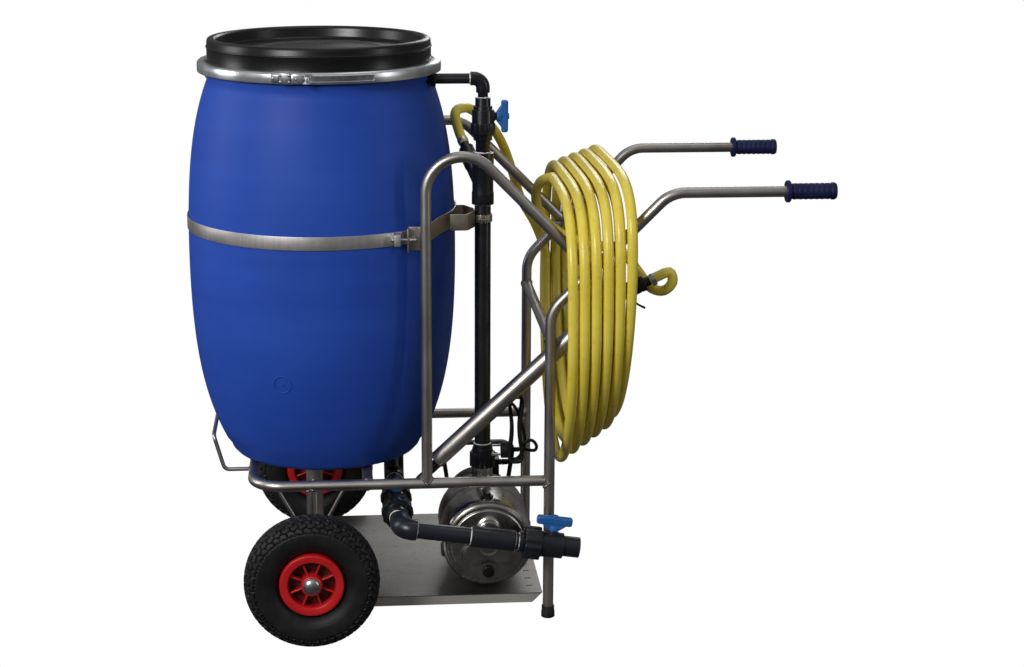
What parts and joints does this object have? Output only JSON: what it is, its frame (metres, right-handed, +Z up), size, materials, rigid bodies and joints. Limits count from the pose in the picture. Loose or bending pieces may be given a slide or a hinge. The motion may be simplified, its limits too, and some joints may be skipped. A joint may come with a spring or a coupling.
{
  "type": "wheeled sprayer cart",
  "caption": "Two-wheeled orchard sprayer cart: open-head drum on a bent tube frame with an electric pump, valved pipework, a coiled hose and a trigger lance in a holder tube.",
  "frame": {"origin": "on the ground, under the middle of the cart's length and width, without its hose and cable", "axes": "+Z up; +X from the drum towards the handles; +Y to the far side, away from the suction line and the lance"},
  "size_m": [1.238, 0.7772, 1.1226],
  "materials": {
    "stainless": "brushed",
    "polished": "polished",
    "zinc": "galvanised",
    "drum_blue": "satin, moulded",
    "black_plastic": "satin, moulded",
    "motor_black": "painted black",
    "pipe_grey": "satin, extruded",
    "handle_blue": "glossy, moulded",
    "grip_blue": "satin, ribbed",
    "rubber": "matte",
    "tyre": "matte, moulded",
    "wheel_red": "satin, moulded",
    "hose_yellow": "smooth, semi-gloss",
    "cable_black": "satin"
  },
  "bodies": {
    "cart": {"side_tube_left": "stainless", "hoop_left": "stainless", "axle_bracket_left": "stainless", "foot_cap_left": "rubber", "grip_left": "grip_blue", "hub_cap_left": "zinc", "strap_bolt_left": "zinc", "side_tube_right": "stainless", "hoop_right": "stainless", "axle_bracket_right": "stainless", "foot_cap_right": "rubber", "grip_right": "grip_blue", "hub_cap_right": "zinc", "strap_bolt_right": "zinc", "base_loop": "stainless", "drum_bearer": "stainless", "rear_cross_bar": "stainless", "bumper_rod": "stainless", "axle": "stainless", "base_plate": "stainless", "holder_tube": "stainless", "drum_strap": "stainless", "riser_bracket": "stainless", "drum": "drum_blue", "pump_body": "polished", "front_cover": "polished", "drain_plug": "black_plastic", "filler_plug": "black_plastic", "terminal_box": "black_plastic", "carry_handle": "black_plastic", "gun": "black_plastic", "motor": "motor_black", "outlet_fitting": "pipe_grey", "outlet_valve": "pipe_grey", "suction_line": "pipe_grey", "drain_valve": "pipe_grey", "riser": "pipe_grey", "wye": "pipe_grey", "return_valve": "pipe_grey", "return_pipe": "pipe_grey", "lance": "pipe_grey", "hose_coil": "hose_yellow", "hose_lead": "hose_yellow", "hose_end": "hose_yellow", "cable_hank": "cable_black", "cable_lead": "cable_black", "mains_plug": "cable_black"},
    "wheel_left": {"tyre_left": "tyre", "rim_left": "wheel_red"},
    "wheel_right": {"tyre_right": "tyre", "rim_right": "wheel_red"},
    "lid": {"lid": "black_plastic", "lid_gasket": "rubber", "closing_ring": "zinc"},
    "ring_lever": {"ring_lever": "zinc"},
    "outlet_handle": {"outlet_handle": "handle_blue"},
    "drain_handle": {"drain_handle": "handle_blue"},
    "return_handle": {"return_handle": "handle_blue"},
    "trigger": {"trigger": "black_plastic"},
    "pump_rotor": {"pump_rotor": "polished"}
  },
  "joints": [
    {"name": "wheel_left_spin", "type": "hinge", "parent": "cart", "child": "wheel_left", "pos_m": [-0.38301, -0.3475, 0.13], "axis": [0, 1, 0], "continuous": true},
    {"name": "wheel_right_spin", "type": "hinge", "parent": "cart", "child": "wheel_right", "pos_m": [-0.38301, 0.3475, 0.13], "axis": [0, 1, 0], "continuous": true},
    {"name": "lid_lift", "type": "slide", "parent": "cart", "child": "lid", "axis": [0, 0, 1], "range_m": [0, 0.3]},
    {"name": "ring_lever_swing", "type": "hinge", "parent": "lid", "child": "ring_lever", "pos_m": [-0.3741, -0.2406, 1.0687], "axis": [0, 0, -1], "range_deg": [0, 100]},
    {"name": "outlet_handle_turn", "type": "hinge", "parent": "cart", "child": "outlet_handle", "pos_m": [-0.21501, -0.145, 0.237], "axis": [0, 0, 1], "range_deg": [0, 90]},
    {"name": "drain_handle_turn", "type": "hinge", "parent": "cart", "child": "drain_handle", "pos_m": [0.0795, -0.29, 0.1682], "axis": [0.1392, 0, 0.9903], "range_deg": [0, 90]},
    {"name": "return_handle_turn", "type": "hinge", "parent": "cart", "child": "return_handle", "pos_m": [-0.0115, -0.07, 0.974], "axis": [1, 0, 0], "range_deg": [0, 90]},
    {"name": "trigger_pull", "type": "hinge", "parent": "cart", "child": "trigger", "pos_m": [0.2385, -0.2202, 0.6391], "axis": [0, -1, 0], "range_deg": [0, 25], "stiffness_Nm_per_rad": 0.25, "springref_deg": -17.19},
    {"name": "pump_spin", "type": "hinge", "parent": "cart", "child": "pump_rotor", "pos_m": [-0.03801, -0.08, 0.149], "axis": [0, 1, 0], "continuous": true}
  ]
}
